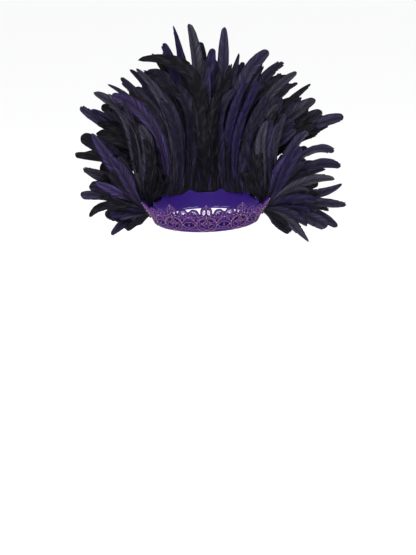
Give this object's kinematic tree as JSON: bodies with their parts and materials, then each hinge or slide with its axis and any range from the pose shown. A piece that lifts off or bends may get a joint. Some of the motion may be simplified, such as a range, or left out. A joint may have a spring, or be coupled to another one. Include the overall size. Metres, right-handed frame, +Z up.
{
  "type": "feathered headdress",
  "caption": "Crown band covered in scalloped pierced lace, with a wide fan of long dark and violet feathers rising from its front and spreading at its sides.",
  "frame": {"origin": "centre of the lower edge of the band, where it sits on the head", "axes": "+Z up along the head, +Y to the wearer's front, +X to the wearer's right, the widest way of the feather fan"},
  "size_m": [0.4703, 0.3189, 0.3591],
  "materials": {
    "satin": "blue-violet satin",
    "binding": "smooth violet satin edge",
    "lace": "purple corded lace with pinkish-gold thread",
    "plumage_black": "glossy black feather",
    "plumage_violet": "dyed indigo and violet feather"
  },
  "bodies": {
    "root": {"base_band": "satin", "rim_binding": "binding", "lace_trim": "lace", "feather_row_inner": "plumage_violet", "feather_row_middle": "plumage_black", "feather_row_outer": "plumage_black", "left_tuft_front": "plumage_black", "left_tuft_middle": "plumage_violet", "left_tuft_rear": "plumage_violet", "right_tuft_front": "plumage_black", "right_tuft_middle": "plumage_violet", "right_tuft_rear": "plumage_violet"}
  },
  "joints": []
}
